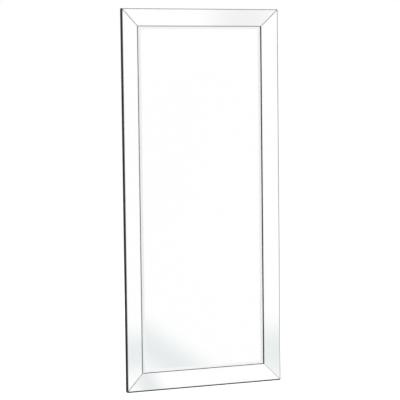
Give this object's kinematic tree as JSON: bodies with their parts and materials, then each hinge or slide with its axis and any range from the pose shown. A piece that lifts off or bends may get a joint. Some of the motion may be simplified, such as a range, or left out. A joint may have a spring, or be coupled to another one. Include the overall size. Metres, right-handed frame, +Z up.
{
  "type": "full-length mirror",
  "caption": "Tall wall mirror with a bevelled centre pane inside a mitred, inward-sloping mirror border on a black board, with folding hanging rings behind.",
  "frame": {"origin": "on the wall plane, midway between the two hook points of the upright rings", "axes": "+Z up along the long side, +Y into the wall, so the mirror faces -Y, and +X to the right seen from the front"},
  "size_m": [0.7, 0.0315, 1.6],
  "materials": {
    "mirror_glass": "silvered float glass with polished bevel",
    "black_board": "satin black paint on fibreboard",
    "bonding_tape": "foam",
    "setting_block": "matt",
    "zinc_steel": "bright zinc plate",
    "bumper_rubber": "matt"
  },
  "bodies": {
    "mirror_panel": {"back_board": "black_board", "bottom_rail": "black_board", "bottom_mirror_strip": "mirror_glass", "bottom_strip_tape": "bonding_tape", "left_stile": "black_board", "left_mirror_strip": "mirror_glass", "left_strip_tape": "bonding_tape", "top_rail": "black_board", "top_mirror_strip": "mirror_glass", "top_strip_tape": "bonding_tape", "right_stile": "black_board", "right_mirror_strip": "mirror_glass", "right_strip_tape": "bonding_tape", "rail_screws": "zinc_steel", "centre_mirror": "mirror_glass", "centre_tape": "bonding_tape", "setting_blocks": "setting_block", "upright_left_strap": "zinc_steel", "upright_right_strap": "zinc_steel", "sideways_top_strap": "zinc_steel", "sideways_bottom_strap": "zinc_steel", "hanger_screws": "zinc_steel", "wall_bumpers": "bumper_rubber"},
    "upright_left_ring": {"upright_left_ring": "zinc_steel"},
    "upright_right_ring": {"upright_right_ring": "zinc_steel"},
    "sideways_top_ring": {"sideways_top_ring": "zinc_steel"},
    "sideways_bottom_ring": {"sideways_bottom_ring": "zinc_steel"}
  },
  "joints": [
    {"name": "upright_left_hinge", "type": "hinge", "parent": "mirror_panel", "child": "upright_left_ring", "pos_m": [-0.32, -0.0034, -0.018], "axis": [1, 0, 0], "range_deg": [0, 175]},
    {"name": "upright_right_hinge", "type": "hinge", "parent": "mirror_panel", "child": "upright_right_ring", "pos_m": [0.32, -0.0034, -0.018], "axis": [1, 0, 0], "range_deg": [0, 175]},
    {"name": "sideways_top_hinge", "type": "hinge", "parent": "mirror_panel", "child": "sideways_top_ring", "pos_m": [0.182, -0.0034, 0.21], "axis": [0, 0, -1], "range_deg": [0, 175]},
    {"name": "sideways_bottom_hinge", "type": "hinge", "parent": "mirror_panel", "child": "sideways_bottom_ring", "pos_m": [0.182, -0.0034, -1.33], "axis": [0, 0, -1], "range_deg": [0, 175]}
  ]
}
